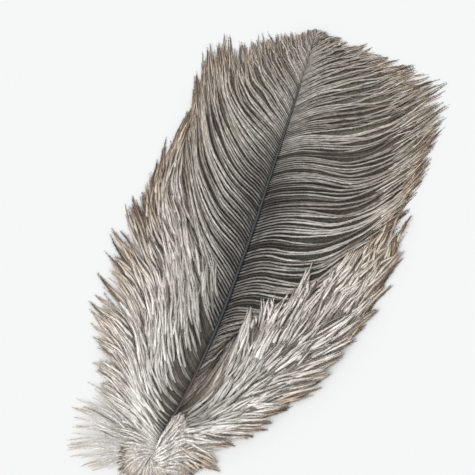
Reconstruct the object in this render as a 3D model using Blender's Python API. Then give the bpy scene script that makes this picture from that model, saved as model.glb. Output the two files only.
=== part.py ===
"""Ostrich feather lying flat: a tapering shaft with its vanes of ridged locks, as one solid.

The feather grew as one piece, so it is one node. Lengths are in millimetres until the mesh is
made. +Y runs from the quill to the tip, +X to the broad vane, and +Z up from the surface that
the feather lies on.
"""
import bmesh
import bpy
import numpy as np

MM = 0.001

# The shaft, seen from above: its middle line and its width, from the quill to the tip.
SHAFT_LINE = [(-9.6, -92), (-8.0, -80), (-5.7, -67), (-4.3, -50), (-3.7, -34), (-3.9, -16),
              (-4.3, 0), (-5.3, 20), (-6.5, 45), (-7.3, 63), (-8.3, 80), (-9.0, 89)]
SHAFT_WIDTH = [(-92, 1.4), (-88, 2.6), (-60, 2.6), (-20, 2.0), (40, 1.3), (89, 0.7)]
SHAFT_MIDDLE_HEIGHT = 2.3
SHAFT_SIDES = 10
SHAFT_STATIONS = 26

# Guide barbs of each vane. Each starts on the shaft and runs to its tip, and the locks between
# two guides take a path between theirs. The main vanes run from low on the shaft to its tip.
LEFT_MAIN = [
    [(-4.0, -42), (-8, -37), (-13, -30), (-19, -22), (-26, -13), (-31, -6)],
    [(-3.7, -30), (-7, -27), (-12, -22), (-18, -15), (-24, -8), (-30, 1), (-36, 12)],
    [(-3.8, -20), (-7, -17), (-12, -13), (-18, -8), (-24, -1), (-30, 8), (-37, 21), (-43, 36)],
    [(-4.0, -10), (-7, -7), (-12, -4), (-18, 0), (-24, 6), (-30, 14), (-37, 29), (-45, 50)],
    [(-4.3, 0), (-7, 2.5), (-12, 6), (-18, 10), (-24, 16), (-30, 23), (-37, 36), (-45.5, 60)],
    [(-4.8, 10), (-8, 12.5), (-13, 15), (-19, 19), (-25, 25), (-31, 33), (-38, 46), (-46, 67)],
    [(-5.3, 20), (-8, 22.5), (-13, 25), (-19, 30), (-25, 36), (-31, 44), (-37.5, 56), (-44.5, 71.5)],
    [(-5.8, 30), (-9, 32.5), (-14, 36), (-20, 40), (-26, 45), (-32, 53), (-37, 66), (-41, 76)],
    [(-6.3, 40), (-9, 42.5), (-14, 46), (-20, 51), (-26, 57), (-31, 66), (-35, 77)],
    [(-6.7, 50), (-9.5, 53), (-14.5, 58), (-20, 63), (-25.5, 71), (-30, 80)],
    [(-7.2, 60), (-10, 63.5), (-15, 68.5), (-20, 75), (-24, 83)],
    [(-7.7, 70), (-10.5, 73.5), (-14.5, 79), (-18, 86)],
    [(-8.3, 80), (-10.5, 83.5), (-12.5, 89)],
    [(-8.9, 87), (-9.4, 89), (-9.8, 91)],
]
RIGHT_MAIN = [
    [(-6.7, -74), (-3, -70), (2, -67.5), (8, -66)],
    [(-5.7, -67), (-2, -62), (3, -58.5), (9, -56.5), (15, -53)],
    [(-4.8, -58), (-2, -54), (3, -50.5), (9, -48.5), (15, -45), (18, -42)],
    [(-4.2, -49), (-1, -45.5), (4, -42.5), (9, -40.5), (15, -38), (20, -33)],
    [(-3.8, -40), (-1, -37), (4, -34.5), (9, -33), (15, -31), (20, -27), (25, -19), (31, -8)],
    [(-3.7, -30), (-1, -27.5), (4, -25), (10, -24), (16, -22.5), (21, -18), (26, -10), (36, 6)],
    [(-3.8, -20), (-1, -18), (4, -15), (10, -14), (16, -12.5), (22, -9), (28, -1), (42, 20)],
    [(-4.0, -10), (-1, -7.5), (4, -5), (10, -4), (16, -2), (22, 1), (28, 6), (36, 17), (46, 36)],
    [(-4.3, 0), (-1, 2.5), (4, 5.5), (10, 7.5), (16, 9), (22, 11), (28, 15), (36, 24), (47, 46)],
    [(-4.8, 10), (-2, 12.5), (3, 15), (9, 17.5), (15, 19), (21, 20.5), (27, 24), (35, 33), (47, 54)],
    [(-5.3, 20), (-2, 22.5), (3, 25), (9, 27), (15, 28), (21, 29), (27, 32), (35, 40), (47.5, 62)],
    [(-5.8, 30), (-3, 32), (2, 35), (8, 37), (14, 38.5), (20, 41), (27, 46), (35, 56), (47, 73)],
    [(-6.3, 40), (-3, 42.5), (2, 46), (8, 49), (14, 52.5), (20, 56), (27, 61.5), (35, 71), (42, 80)],
    [(-6.7, 50), (-4, 52.5), (1, 58), (7, 62.5), (13, 66.5), (20, 72), (27, 78), (34, 84)],
    [(-7.2, 60), (-4.5, 63), (0, 68), (6, 73), (12, 78), (18, 82.5), (24, 87)],
    [(-7.7, 70), (-5, 73.5), (0, 79), (6, 84.5), (11, 89)],
    [(-8.3, 80), (-6, 84), (-2, 90)],
    [(-8.9, 87), (-8.6, 89), (-8.2, 91)],
]

# The downy lower barbs lie over the main vanes. They run from the top of this layer, where they
# rise beside the shaft, to the quill, where they fan out and down.
LEFT_DOWN = [
    [(-3.7, -33), (-8, -27), (-14, -18), (-21, -9), (-29, 0), (-36, 11), (-41, 24), (-44, 44)],
    [(-4.0, -45), (-9, -39), (-15, -30), (-22, -19), (-30, -9), (-38, 2), (-43, 14), (-47, 32)],
    [(-4.6, -55), (-10, -49), (-15, -40), (-20, -30), (-27, -19), (-35, -9), (-43, 2), (-48, 19)],
    [(-5.2, -63), (-11, -59), (-16, -51), (-19, -42), (-23, -32), (-29, -22), (-37, -13), (-49, 5)],
    [(-6.1, -70), (-12, -67), (-18, -60), (-21, -50), (-24, -41), (-29, -31), (-37, -22), (-49, -8)],
    [(-6.9, -75), (-13, -72), (-19, -65), (-23, -56), (-28, -46), (-35, -38), (-43, -32), (-51, -27)],
    [(-7.5, -78), (-13, -75), (-20, -69), (-25, -62), (-32, -55), (-40, -50), (-47.5, -46)],
    [(-8.0, -80.5), (-13, -77.5), (-20, -72.5), (-27, -66.5), (-34, -61.5), (-41.5, -58)],
    [(-8.3, -82.5), (-14, -80.5), (-21, -76.5), (-28, -72.5), (-36, -69)],
    [(-8.5, -84), (-14, -83), (-21, -80.5), (-28, -79), (-36, -78.5)],
    [(-8.7, -85.5), (-14, -86), (-20, -86.5), (-27, -87.5), (-34, -88)],
    [(-8.9, -86.5), (-12.5, -88.5), (-18, -91), (-25, -94.5)],
    [(-9.1, -87.5), (-10, -90.5), (-12.5, -96)],
]
RIGHT_DOWN = [
    [(-6.5, -72), (-1, -68), (3, -60), (4.5, -50), (5, -40), (4.8, -30)],
    [(-6.7, -73.5), (0, -70), (5, -62), (8, -52), (9.5, -42), (10, -32), (9.5, -23)],
    [(-6.9, -75), (0, -72), (6, -65), (10, -56), (13, -47), (16, -37), (20, -26), (25, -13), (29, 2)],
    [(-7.0, -76), (1, -72.5), (7, -66), (12, -58), (17, -49), (23, -39), (30, -26), (37, -6), (44, 25)],
    [(-7.2, -77), (1, -73.5), (8, -67.5), (14, -59.5), (20, -51), (27, -42.5), (34, -32), (41, -14), (47, 9)],
    [(-7.4, -78), (1, -75), (8, -70), (14.5, -62.5), (21.5, -54.5), (28.5, -47), (36, -37), (44.5, -17)],
    [(-7.6, -79), (1, -76.5), (8, -72), (15, -65.5), (22, -58.5), (28.5, -52), (34, -45), (40, -37)],
    [(-7.8, -80), (0, -78), (7.5, -74), (14, -68.5), (20.5, -63), (27, -57.5), (34, -52)],
    [(-8.0, -81), (-0.5, -79.5), (6, -76), (12, -71.5), (18.5, -67), (26, -63)],
    [(-8.2, -82), (-1, -81.5), (5, -79), (11, -75.5), (19, -71.5)],
    [(-8.4, -83.5), (-2, -84), (4, -83.5), (10, -81.5), (15.5, -79.5)],
    [(-8.8, -85.5), (-5, -87.5), (-2, -88.5), (3, -90)],
    [(-9.1, -87.5), (-8, -90.5), (-6.5, -94)],
]

# Locks: each is a ridge over a flat underside, joined to its neighbours as far as the split.
STATIONS = 12
ROOT_OVERLAP = 0.7
LEFT_VALLEY, RIGHT_VALLEY, MAIN_RIDGE = 1.4, 1.53, 1.6
DOWN_VALLEY, DOWN_RIDGE = 3.1, 2.2
TIP_THICKNESS = 0.35
SPLIT_MAIN, SPLIT_DOWN = 0.8, 0.62
LEFT_LOCKS, RIGHT_LOCKS = 25, 28
LEFT_DOWN_LOCKS, RIGHT_DOWN_LOCKS = 15, 13

FEATHER_COLOR = (0.155, 0.132, 0.112, 1.0)
FEATHER_ROUGHNESS = 0.75


def remove_everything():
    """Start from an empty scene."""
    for old in list(bpy.data.objects):
        bpy.data.objects.remove(old, do_unlink=True)


def hermite(knots, values, at):
    """Smooth curve through values at knots: cubic pieces whose slopes are central differences."""
    slopes = np.gradient(values, knots, axis=0)
    piece = np.clip(np.searchsorted(knots, at) - 1, 0, len(knots) - 2)
    width = (knots[piece + 1] - knots[piece])[:, None]
    t = (at[:, None] - knots[piece][:, None]) / width
    start, end = values[piece], values[piece + 1]
    rise, fall = slopes[piece] * width, slopes[piece + 1] * width
    return ((2 * t**3 - 3 * t**2 + 1) * start + (t**3 - 2 * t**2 + t) * rise
            + (3 * t**2 - 2 * t**3) * end + (t**3 - t**2) * fall)


def along(points, fractions):
    """Points at the given fractions of a guide's length, on a smooth curve through its points."""
    points = np.array(points, dtype=float)
    steps = np.linalg.norm(np.diff(points, axis=0), axis=1)
    travelled = np.concatenate([[0.0], np.cumsum(steps)])
    return hermite(travelled, points, fractions * travelled[-1])


def barb_lines(guides, count, fractions):
    """count paths spread evenly between the guides, as an array of path, station, xy."""
    known = np.stack([along(guide, fractions) for guide in guides])
    places = np.linspace(0.0, len(guides) - 1.0, count)
    flat = hermite(np.arange(len(guides), dtype=float), known.reshape(len(guides), -1), places)
    return flat.reshape(count, len(fractions), 2)


def tube(line, half_widths, middle_height, sides):
    """Closed round tube: a ring of points at each station of the line, and a fan at each end."""
    directions = np.gradient(line, axis=0)
    directions /= np.linalg.norm(directions, axis=1)[:, None]
    across = np.stack([directions[:, 1], -directions[:, 0]], axis=1)
    turns = np.arange(sides) * 2.0 * np.pi / sides
    points = []
    for centre, side, radius in zip(line, across, half_widths):
        for turn in turns:
            x, y = centre + side * radius * np.cos(turn)
            points.append((x, y, middle_height + radius * np.sin(turn)))
    faces = []
    for ring in range(len(line) - 1):
        for k in range(sides):
            a, b = ring * sides + k, ring * sides + (k + 1) % sides
            faces.append((a, a + sides, b + sides, b))
    faces.append(tuple(range(sides)))
    last = (len(line) - 1) * sides
    faces.append(tuple(reversed(range(last, last + sides))))
    return points, faces


def shaft_surface():
    """The shaft: a round tube that thins to the tip and closes in at the quill's end."""
    places = np.linspace(0.0, 1.0, SHAFT_STATIONS)
    line = along(SHAFT_LINE, places)
    heights, widths = zip(*SHAFT_WIDTH)
    half_widths = 0.5 * np.interp(line[:, 1], heights, widths)
    return tube(line, half_widths, SHAFT_MIDDLE_HEIGHT, SHAFT_SIDES)


def sheet_surface(guides, locks, side, valley, ridge, split):
    """One layer of a vane: ridged locks side by side, over a flat underside at height zero.

    Even lines are the valleys between locks and odd lines their ridges. Up to the split two
    neighbours share a valley; from there each lock's edges close in on its ridge and meet at
    the tip, so that the locks end as separate points.
    """
    fractions = np.linspace(0.0, 1.0, STATIONS)
    lines = barb_lines(guides, 2 * locks + 1, fractions)
    lines[:, 0, 0] -= side * ROOT_OVERLAP
    swell = np.sin(np.pi * np.clip(0.15 + 0.85 * fractions, 0.0, 1.0)) ** 0.6
    low = TIP_THICKNESS + (valley - TIP_THICKNESS) * (1.0 - fractions**2)
    high = low + ridge * swell
    closing = np.clip((fractions - split) / (1.0 - split), 0.0, 1.0)
    points, faces, index = [], [], {}

    def point(name, x, y, z):
        if name not in index:
            index[name] = len(points)
            points.append((x, y, z))
        return index[name]

    def edge(lock, station, right):
        """Top and bottom points of a lock's edge, shared with its neighbour before the split."""
        valley_line = 2 * (lock + right)
        shut = closing[station]
        x, y = lines[valley_line, station] * (1.0 - shut) + lines[2 * lock + 1, station] * shut
        if shut == 0.0:
            name = ("valley", valley_line, station)
        elif shut == 1.0:
            name = ("tip", lock)
        else:
            name = ("edge", lock, right, station)
        return point(name + ("top",), x, y, low[station]), point(name + ("foot",), x, y, 0.0)

    for lock in range(locks):
        crest = []
        for station in range(STATIONS - 1):
            x, y = lines[2 * lock + 1, station]
            crest.append(point(("crest", lock, station), x, y, high[station]))
        crest.append(edge(lock, STATIONS - 1, 0)[0])
        for station in range(STATIONS - 1):
            left_top, left_foot = edge(lock, station, 0)
            right_top, right_foot = edge(lock, station, 1)
            next_left_top, next_left_foot = edge(lock, station + 1, 0)
            next_right_top, next_right_foot = edge(lock, station + 1, 1)
            faces.append((left_top, crest[station], crest[station + 1], next_left_top))
            faces.append((crest[station], right_top, next_right_top, crest[station + 1]))
            faces.append((right_foot, left_foot, next_left_foot, next_right_foot))
            if closing[station + 1] > 0.0 or lock == 0:
                faces.append((left_foot, left_top, next_left_top, next_left_foot))
            if closing[station + 1] > 0.0 or lock == locks - 1:
                faces.append((right_top, right_foot, next_right_foot, next_right_top))
        left_top, left_foot = edge(lock, 0, 0)
        right_top, right_foot = edge(lock, 0, 1)
        faces.append((left_foot, right_foot, right_top, crest[0], left_top))
    return points, [without_repeats(face) for face in faces]


def without_repeats(face):
    """A face's points with those that a tip has brought together taken once."""
    kept = []
    for number in face:
        if number not in kept:
            kept.append(number)
    return tuple(kept)


def make_solid(name, surface):
    """Mesh object from points in millimetres, made of triangles that face outward."""
    points, faces = surface
    faces = [face for face in faces if len(face) > 2]
    mesh = bpy.data.meshes.new(name)
    mesh.from_pydata((np.array(points) * MM).tolist(), [], faces)
    mesh.validate()
    solid = bpy.data.objects.new(name, mesh)
    bpy.context.collection.objects.link(solid)
    clean = bmesh.new()
    clean.from_mesh(mesh)
    bmesh.ops.triangulate(clean, faces=clean.faces[:])
    bmesh.ops.recalc_face_normals(clean, faces=clean.faces[:])
    clean.to_mesh(mesh)
    clean.free()
    return solid


def fuse(body, others):
    """Join the other solids into body with exact unions, and remove them."""
    for other in others:
        union = body.modifiers.new("union", "BOOLEAN")
        union.operation = "UNION"
        union.solver = "EXACT"
        union.object = other
    view = bpy.context.evaluated_depsgraph_get()
    fused = bpy.data.meshes.new_from_object(body.evaluated_get(view))
    body.modifiers.clear()
    body.data = fused
    for other in others:
        bpy.data.objects.remove(other, do_unlink=True)


def stand_on_origin(body):
    """Move the mesh so that the middle of its underside is at the origin."""
    corners = np.array([vertex.co for vertex in body.data.vertices])
    low, high = corners.min(axis=0), corners.max(axis=0)
    shift = np.array([(low[0] + high[0]) / 2, (low[1] + high[1]) / 2, low[2]])
    body.data.vertices.foreach_set("co", (corners - shift).ravel())
    body.data.update()


def feather_material():
    """Matt grey-brown feather."""
    material = bpy.data.materials.new("feather")
    material.use_nodes = True
    shader = material.node_tree.nodes["Principled BSDF"]
    shader.inputs["Base Color"].default_value = FEATHER_COLOR
    shader.inputs["Roughness"].default_value = FEATHER_ROUGHNESS
    shader.inputs["Metallic"].default_value = 0.0
    return material


def build_feather():
    """The whole feather as one solid named feather."""
    feather = make_solid("feather", shaft_surface())
    vanes = [
        make_solid("left vane", sheet_surface(
            LEFT_MAIN, LEFT_LOCKS, -1, LEFT_VALLEY, MAIN_RIDGE, SPLIT_MAIN)),
        make_solid("right vane", sheet_surface(
            RIGHT_MAIN, RIGHT_LOCKS, 1, RIGHT_VALLEY, MAIN_RIDGE, SPLIT_MAIN)),
        make_solid("left down", sheet_surface(
            LEFT_DOWN, LEFT_DOWN_LOCKS, -1, DOWN_VALLEY, DOWN_RIDGE, SPLIT_DOWN)),
        make_solid("right down", sheet_surface(
            RIGHT_DOWN, RIGHT_DOWN_LOCKS, 1, DOWN_VALLEY, DOWN_RIDGE, SPLIT_DOWN)),
    ]
    fuse(feather, vanes)
    stand_on_origin(feather)
    feather.data.materials.clear()
    feather.data.materials.append(feather_material())
    for face in feather.data.polygons:
        face.use_smooth = True
    feather.data.set_sharp_from_angle(angle=np.radians(40.0))
    return feather


remove_everything()
build_feather()
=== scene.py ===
"""Ostrich feather: barbs with their barbules, pale down and a tapering shaft, on a pale floor.

Lengths are in millimetres in the feather's own frame until a mesh is made: +Y runs from the
quill to the tip, +X to the broad vane, and +Z up from the floor. in_metres() puts them where the
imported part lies.
"""
from types import SimpleNamespace

import bpy
import numpy as np
from mathutils import Matrix, Vector


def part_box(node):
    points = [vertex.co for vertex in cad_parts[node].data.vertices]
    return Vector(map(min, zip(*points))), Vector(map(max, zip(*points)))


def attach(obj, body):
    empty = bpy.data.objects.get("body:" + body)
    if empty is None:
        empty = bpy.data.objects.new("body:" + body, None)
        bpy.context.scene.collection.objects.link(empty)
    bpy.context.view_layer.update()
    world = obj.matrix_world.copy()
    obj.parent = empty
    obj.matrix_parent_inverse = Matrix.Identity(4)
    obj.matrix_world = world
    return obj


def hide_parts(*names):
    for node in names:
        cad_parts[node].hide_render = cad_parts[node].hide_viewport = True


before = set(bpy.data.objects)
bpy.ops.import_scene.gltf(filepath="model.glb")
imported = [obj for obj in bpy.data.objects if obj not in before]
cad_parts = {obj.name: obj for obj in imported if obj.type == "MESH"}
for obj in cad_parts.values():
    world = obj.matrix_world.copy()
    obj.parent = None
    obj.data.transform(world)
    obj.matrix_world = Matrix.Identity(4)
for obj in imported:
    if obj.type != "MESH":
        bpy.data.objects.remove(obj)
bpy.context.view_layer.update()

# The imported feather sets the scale. FRAME_MIDDLE is the feather frame's point at its origin.
FEATHER_LENGTH = 186.34
BOX_LOW, BOX_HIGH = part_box("feather")
MM = (BOX_HIGH[1] - BOX_LOW[1]) / FEATHER_LENGTH
FRAME_MIDDLE = (-1.565, -2.472)

# The camera looks down at the feather, which lies turned on the floor.
CAMERA_LENS = 80.0
CAMERA_DISTANCE = 372.4
CAMERA_PITCH = 64.5
CAMERA_TURN = 19.4
CAMERA_AIM = (-8.8, -4.0)
CAMERA_NEAREST = 0.01

# The studio, in metres and degrees: a pale floor, pale surroundings and one broad light.
FLOOR_HALF = 6.0
FLOOR_COLOR = (0.935, 0.94, 0.935, 1.0)
SURROUND_COLOR = (0.985, 0.992, 1.0, 1.0)
SURROUND_STRENGTH = 0.72
LIGHT_STRENGTH = 1.3
LIGHT_BREADTH = 35.0
LIGHT_TURN = (38.0, -30.0)

# The shaft's middle line, and its width and height along it, from the quill to the tip.
SHAFT_LINE = [(-9.6, -92), (-8.0, -80), (-5.7, -67), (-4.3, -50), (-3.7, -34), (-3.9, -16),
              (-4.3, 0), (-5.3, 20), (-6.5, 45), (-7.3, 63), (-8.3, 80), (-9.0, 89)]
SHAFT_WIDTH = [(-92, 0.9), (-90, 1.5), (-84, 1.6), (-60, 1.4), (-20, 1.2), (40, 0.9), (89, 0.4)]
SHAFT_HEIGHT = [(-92, 1.1), (-84, 1.3), (-74, 2.4), (-20, 2.7), (60, 2.4), (89, 1.2)]
SHAFT_SIDES = 16
SHAFT_STATIONS = 140

# The dent along the shaft's top: its depth as a share of the radius, and its breadth in radians.
DENT_DEPTH = 0.22
DENT_BREADTH = 0.35

# Guide barbs of each layer. Each starts on the shaft and runs to its tip.
LEFT_VANE_GUIDES = [
    [(-4.0, -42), (-8, -37), (-13, -30), (-19, -22), (-26, -13), (-31, -6)],
    [(-3.7, -30), (-7, -27), (-12, -22), (-18, -15), (-24, -8), (-30, 1), (-36, 12)],
    [(-3.8, -20), (-7, -17), (-12, -13), (-18, -8), (-24, -1), (-30, 8), (-37, 21), (-43, 36)],
    [(-4.0, -10), (-7, -7), (-12, -4), (-18, 0), (-24, 6), (-30, 14), (-37, 29), (-45, 50)],
    [(-4.3, 0), (-7, 2.5), (-12, 6), (-18, 10), (-24, 16), (-30, 23), (-37, 36), (-45.5, 60)],
    [(-4.8, 10), (-8, 12.5), (-13, 15), (-19, 19), (-25, 25), (-31, 33), (-38, 46), (-46, 67)],
    [(-5.3, 20), (-8, 22.5), (-13, 25), (-19, 30), (-25, 36), (-31, 44), (-37.5, 56), (-44.5, 71.5)],
    [(-5.8, 30), (-9, 32.5), (-14, 36), (-20, 40), (-26, 45), (-32, 53), (-37, 65), (-41, 74.5)],
    [(-6.3, 40), (-9, 42.5), (-14, 46), (-20, 51), (-26, 57), (-31, 65), (-34.5, 74.5)],
    [(-6.7, 50), (-9.5, 53), (-14.5, 58), (-20, 63), (-25.5, 71), (-29.5, 78.5)],
    [(-7.2, 60), (-10, 63.5), (-15, 68.5), (-20, 75), (-24, 83)],
    [(-7.7, 70), (-10.5, 73.5), (-14.5, 79), (-18, 86)],
    [(-8.3, 80), (-10.5, 83.5), (-12.5, 89)],
    [(-8.9, 87), (-9.4, 89), (-9.8, 91)],
]
RIGHT_VANE_GUIDES = [
    [(-6.3, -71), (-4.8, -68), (-2.5, -63), (-0.5, -57)],
    [(-5.2, -60), (-3.5, -57), (-1, -52), (1, -46)],
    [(-4.2, -49), (-2, -46), (1, -41.5), (4, -36)],
    [(-3.8, -40), (-1, -37), (4, -34), (9, -31), (13, -27), (17, -21)],
    [(-3.7, -30), (-1, -27.5), (4, -25), (10, -24), (16, -22.5), (21, -18), (26, -10), (33, 1), (40, 11)],
    [(-3.8, -20), (-1, -18), (4, -15), (10, -14), (16, -12.5), (22, -9), (28, -1), (36, 10), (44, 23)],
    [(-4.0, -10), (-1, -7.5), (4, -5), (10, -4), (16, -2), (22, 1), (28, 6), (36, 17), (46, 36)],
    [(-4.3, 0), (-1, 2.5), (4, 5.5), (10, 7.5), (16, 9), (22, 11), (28, 15), (36, 24), (47, 46)],
    [(-4.8, 10), (-2, 12.5), (3, 15), (9, 17.5), (15, 19), (21, 20.5), (27, 24), (35, 33), (47, 54)],
    [(-5.3, 20), (-2, 22.5), (3, 25), (9, 27), (15, 28), (21, 29), (27, 32), (35, 40), (47.5, 62)],
    [(-5.8, 30), (-3, 32), (2, 35), (8, 37), (14, 38.5), (20, 41), (27, 46), (35, 56), (47, 73)],
    [(-6.3, 40), (-3, 42.5), (2, 46), (8, 49), (14, 52.5), (20, 56), (27, 61.5), (35, 71), (42, 80)],
    [(-6.7, 50), (-4, 52.5), (1, 58), (7, 62.5), (13, 66.5), (20, 72), (27, 78), (34, 84)],
    [(-7.2, 60), (-4.5, 63), (0, 68), (6, 73), (12, 78), (18, 82.5), (24, 87)],
    [(-7.7, 70), (-5, 73.5), (0, 79), (6, 84.5), (11, 89)],
    [(-8.3, 80), (-6, 84), (-2, 90)],
    [(-8.9, 87), (-8.6, 89), (-8.2, 91)],
]
LEFT_DOWN_GUIDES = [
    [(-3.7, -33), (-8, -27), (-14, -18), (-21, -9), (-29, 0), (-36, 11), (-41, 24), (-44, 44)],
    [(-4.0, -45), (-9, -39), (-15, -30), (-22, -19), (-30, -9), (-38, 2), (-42.5, 14), (-45.5, 28)],
    [(-4.6, -55), (-10, -49), (-15, -40), (-20, -30), (-27, -19), (-35, -9), (-42.5, 2), (-47, 15)],
    [(-5.2, -63), (-11, -59), (-16, -51), (-19, -42), (-23, -32), (-29, -22), (-37, -13), (-49, 5)],
    [(-6.1, -70), (-12, -67), (-18, -60), (-21, -50), (-24, -41), (-29, -31), (-37, -22), (-49, -8)],
    [(-6.9, -75), (-13, -72), (-19, -65), (-23, -56), (-28, -46), (-35, -38), (-42, -33), (-48.5, -29)],
    [(-7.5, -78), (-13, -75), (-20, -69), (-25, -62), (-31, -56), (-38.5, -51), (-45, -47.5)],
    [(-8.0, -80.5), (-13, -77.5), (-20, -72.5), (-27, -66.5), (-32.5, -62.8), (-37.5, -60.3)],
    [(-8.3, -82.5), (-14, -80.5), (-20, -77), (-25, -74), (-29, -71.5)],
    [(-8.5, -84), (-13.5, -83), (-18, -81.2), (-21, -80.8), (-23.5, -80.8)],
    [(-8.7, -85.5), (-13.5, -86), (-15.5, -86.2), (-17.5, -86.5), (-19.5, -86.8)],
    [(-8.9, -86.5), (-12.5, -88.5), (-14, -89.3), (-15.5, -91)],
    [(-9.1, -87.5), (-10, -90), (-12, -93.5)],
]
RIGHT_DOWN_GUIDES = [
    [(-5.9, -70), (-4.5, -66), (-2, -60), (0.8, -50), (2.8, -36)],
    [(-6.5, -72), (-3.5, -69), (0.5, -61), (3, -50), (4.2, -40), (4.2, -27)],
    [(-6.7, -73.5), (0, -70), (5, -62), (8, -52), (9.5, -42), (10.5, -32), (11, -21)],
    [(-6.9, -75), (0, -72), (6, -65), (10, -56), (13, -47), (16, -37), (20, -26), (25, -13), (29, 2)],
    [(-7.0, -76), (1, -72.5), (7, -66), (12, -58), (17, -49), (23, -39), (30, -26), (37.5, -6),
     (46.5, 26)],
    [(-7.2, -77), (1, -73.5), (8, -67.5), (14, -59.5), (20, -51), (27, -42.5), (34, -32), (41, -14),
     (47.5, 8)],
    [(-7.4, -78), (1, -75), (8, -70), (14.5, -62.5), (21.5, -54.5), (28, -47.5), (34.5, -38),
     (41.5, -19)],
    [(-7.6, -79), (1, -76.5), (8, -72), (15, -65.5), (22, -58.5), (26, -54), (29, -49.5), (31.5, -45.5)],
    [(-7.8, -80), (0, -78), (7.5, -74), (14, -68.5), (17.5, -65.5), (20.3, -62.8), (22.5, -60.5)],
    [(-8.0, -81), (-0.5, -79.5), (6, -76), (10.5, -72.5), (13.5, -71), (16.5, -69.5)],
    [(-8.2, -82), (-1, -81.5), (5, -79.5), (9, -77.5), (12.5, -76)],
    [(-8.4, -83.5), (-2, -84), (2.5, -84), (6.5, -83.5), (10, -82.5)],
    [(-8.8, -85.5), (-5, -87.5), (-2, -88.5), (3, -90)],
    [(-9.1, -87.5), (-8, -90.5), (-6.5, -94)],
]

QUILL_DOWN_GUIDES = [
    [(-8.2, -84), (-7.0, -79), (-6.0, -73), (-5, -66)],
    [(-8.7, -86), (-5.5, -80), (-2.5, -74), (0, -67)],
    [(-9.0, -88), (-4, -83), (0.5, -77), (4, -70)],
    [(-9.3, -90), (-3.5, -87), (2, -83), (7, -78)],
    [(-9.5, -91), (-4, -90.5), (1, -89.5), (6, -88)],
]
WISP_GUIDES = [
    [(-9.0, -83), (-17, -77), (-27, -71), (-38, -66)],
    [(-9.0, -84), (-18, -81), (-28, -77), (-39, -75)],
    [(-9.0, -85), (-18, -84.5), (-28, -84), (-38, -85)],
    [(-9.2, -86), (-17, -88.5), (-26, -92), (-33, -96)],
    [(-9.2, -87), (-14, -90.5), (-18.5, -94), (-22, -97)],
]
QUILL_COVER_GUIDES = [
    [(-9.2, -84), (-12.5, -84), (-16, -85), (-19.5, -86.5)],
    [(-9.3, -85.5), (-12, -87), (-14.5, -89.5), (-17, -92.5)],
    [(-9.2, -86.5), (-10.5, -89), (-12, -92.5), (-13, -96)],
    [(-9.0, -87), (-8, -90), (-7, -93), (-6, -95.5)],
    [(-9.0, -87.5), (-5.5, -89.5), (-2, -91.5), (1, -93)],
]

GUIDE_STATIONS = 61
WEB_STATIONS = 18
TONES = 24

# How far away, in millimetres, a strand's tip still feels half of the pull of its lock's point.
LOCK_RADIUS = 4.0

# Least heights above the floor, in millimetres: of a barb's middle line, and of anything else.
BARB_CLEARANCE = 0.15
CLEARANCE = 0.05

# What a layer's seed grows by for its barbules and for its web.
BARBULE_SEED = 100
WEB_SEED = 200

# Radians that the sways turn through along a path: a lock's, a whole barb's own, and a strand's.
LOCK_SWAY, OWN_SWAY, STRAND_SWAY = 5.0, 17.0, 6.0

# A web's reach is ragged by up to this share, and its ribs are this deep and this many lines apart.
# Its rim is this broad on the map.
WEB_RAGGED = 0.2
WEB_RIB_DEPTH = 0.3
WEB_RIB_LINES = 4
WEB_RIM = 0.004

# Corners of a cord's ring, anticlockwise seen along it: left, up, and their place on the map.
# Sides sit at the column's dark edge: partly the barbules' colour, partly painted shade on the flanks.
CORD_CORNERS = np.array([(1.0, 0.0, 0.42, 0.0), (0.5, 0.22, 0.2, 0.0004), (0.0, 0.3, 0.0, 0.0),
                         (-0.5, 0.22, -0.2, -0.0004), (-1.0, 0.0, -0.42, 0.0), (0.0, -0.2, 0.3, 0.0008)])

# Corners of a barbule on the map: how far out in its column, how far along, and how far along as a
# share of its own length. A barb keeps within the ends of the map.
# Barbules run out to their column's dark edge: partly their own colour, partly painted shade.
SPIKE_CORNERS = [(0.16, -0.0006, 0.0), (0.16, 0.0006, 0.0), (0.20, 0.0, 0.0), (0.42, 0.0, 0.4)]
MAP_ENDS = (0.002, 0.998)

# Lowest and highest shares that chance takes: of a whole barb's width, of its width from ring to
# ring, of its browning, of a barbule's spread, of its length and of its fall.
WIDTH_SHARES = (0.7, 1.2)
RING_SHARES = (0.65, 1.3)
BROWNING_SHARES = (0.88, 1.02)
SPREAD_SHARES = (0.5, 1.6)
LENGTH_SHARES = (0.6, 1.25)
FALL_SHARES = (0.2, 1.6)

# A barb's height is off by up to this many millimetres. A strand starts at this share of its height.
HEIGHT_SCATTER = 0.3
STRAND_ROOT = 0.45

# Dark barbs are thinner, with tones of theirs: partly darker barbs, partly painted shade standing in
# for the shaded gaps between locks and tufts. Strands that start before the first of these shares
# of a path are never dark, and past the second they are as often as their layer says.
DARK_WIDTH = 0.65
DARK_TONES = (0.05, 0.25)
DARK_STARTS = (0.1, 0.5)

# How wide a barb is along itself, as shares of its layer's width: whole ones, and strands.
WHOLE_BARB = [(0.0, 0.65), (0.12, 0.8), (0.35, 1.0), (0.65, 0.9), (0.85, 0.55), (1.0, 0.1)]
STRAND = [(0.0, 0.3), (0.2, 0.9), (0.4, 1.0), (0.7, 0.6), (1.0, 0.05)]

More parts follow.
